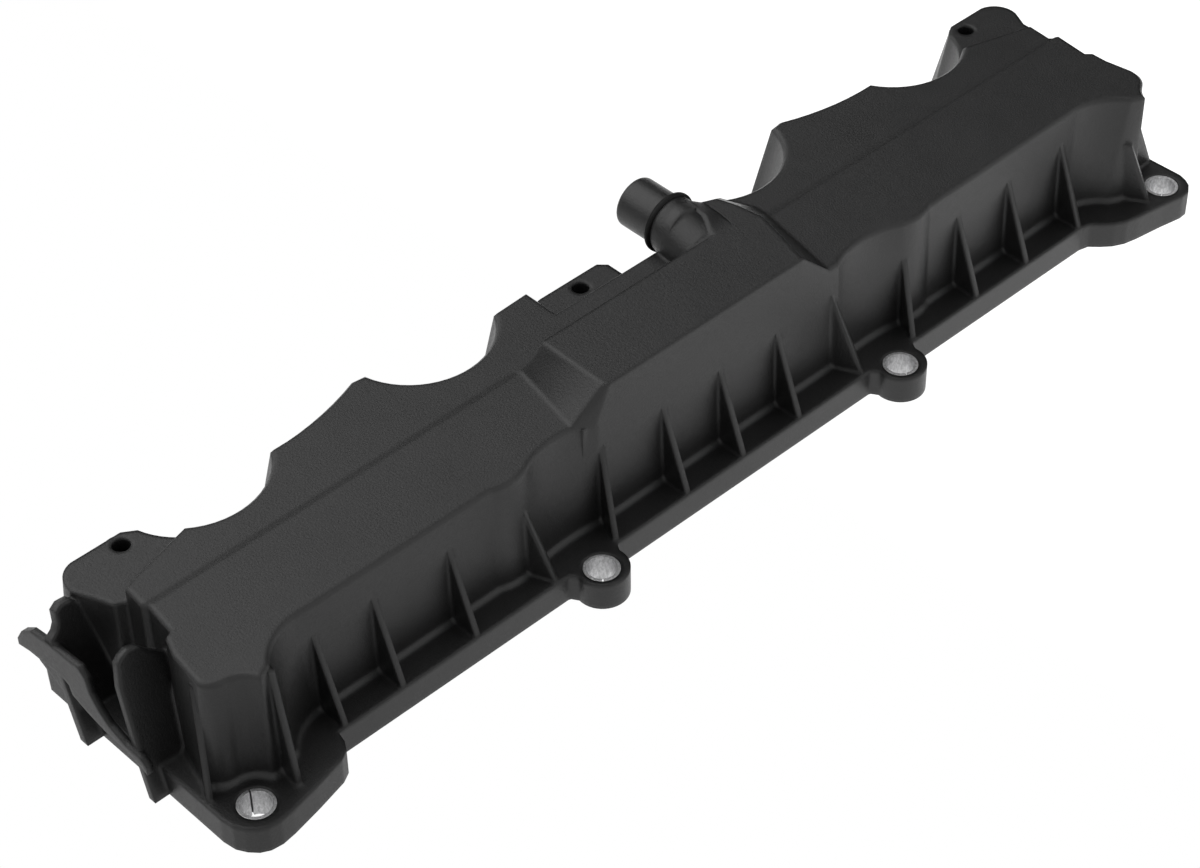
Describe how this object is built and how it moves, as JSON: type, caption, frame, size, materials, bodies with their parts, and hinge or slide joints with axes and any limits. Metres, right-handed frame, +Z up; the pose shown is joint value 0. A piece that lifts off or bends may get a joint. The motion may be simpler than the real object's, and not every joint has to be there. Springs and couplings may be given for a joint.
{
  "type": "valve cover",
  "caption": "Long black moulded plastic valve cover for one camshaft of a four-cylinder engine, with ribbed front wall, spark plug scallops, breather spigot and steel bolt limiters",
  "frame": {"origin": "middle of the row of four front bolts, on the sealing plane", "axes": "+X runs along the cover away from the end with the open bracket pocket, +Y from the bolt rim toward the spark plug scallops, +Z up away from the sealing plane"},
  "size_m": [0.4072, 0.1021, 0.0628],
  "materials": {
    "moulded_plastic": "fine grained glass filled nylon, near black",
    "baffle_plastic": "moulded nylon plate, black",
    "seal_rubber": "smooth black rubber",
    "zinc_steel": "rolled zinc plated steel, dull",
    "screw_steel": "plain plated steel"
  },
  "bodies": {
    "root": {"cover_shell": "moulded_plastic", "front_limiter_1": "zinc_steel", "front_limiter_2": "zinc_steel", "front_limiter_3": "zinc_steel", "front_limiter_4": "zinc_steel", "rear_limiter_1": "zinc_steel", "rear_limiter_2": "zinc_steel", "rear_limiter_3": "zinc_steel", "perimeter_gasket": "seal_rubber", "breather_seal_ring": "seal_rubber", "separator_baffle": "baffle_plastic", "baffle_screw_1": "screw_steel", "baffle_screw_2": "screw_steel", "baffle_screw_3": "screw_steel", "baffle_screw_4": "screw_steel", "baffle_screw_5": "screw_steel", "baffle_screw_6": "screw_steel"}
  },
  "joints": []
}
